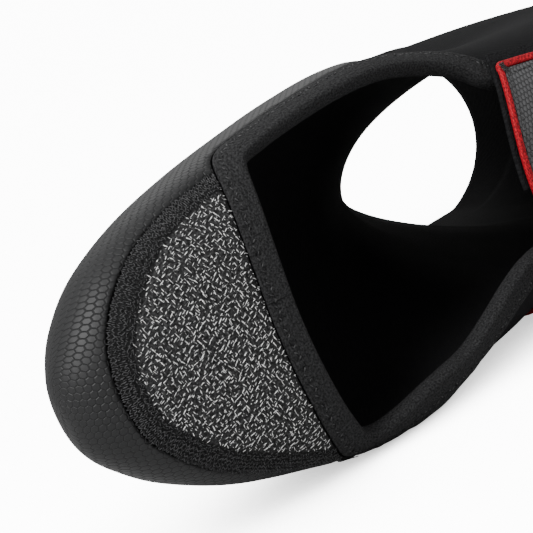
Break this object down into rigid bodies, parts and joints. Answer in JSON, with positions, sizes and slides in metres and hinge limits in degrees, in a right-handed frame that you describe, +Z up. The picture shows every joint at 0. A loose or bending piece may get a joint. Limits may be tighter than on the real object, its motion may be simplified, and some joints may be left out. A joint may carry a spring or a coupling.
{
  "type": "cycling overshoe",
  "caption": "Close-fitting overshoe for a cycling shoe, with an embossed toe cover, a wear patch, a bound opening under the foot and an arch strap.",
  "frame": {"origin": "on the floor under the middle of the whole, as it lies on its inner side", "axes": "-X towards the toe, +X towards the heel, -Y the way the sole faces, +Y the way the leg leaves the collar, +Z up, the outer side of the foot"},
  "size_m": [0.2892, 0.1718, 0.0988],
  "materials": {
    "softshell_fabric": "smooth matt knit, laminated",
    "embossed_coating": "embossed, satin",
    "wear_cloth": "coarse cloth with pale yarn flecks",
    "elastic_tape": "matt folded tape",
    "loop_cloth": "brushed loop",
    "strap_coating": "embossed, satin",
    "edging_tape": "tight woven tape"
  },
  "bodies": {
    "root": {"upper": "softshell_fabric", "toe_cover": "embossed_coating", "toe_patch": "wear_cloth", "opening_binding": "elastic_tape", "strap_flap": "loop_cloth", "strap": "strap_coating", "strap_edging": "edging_tape"}
  },
  "joints": []
}
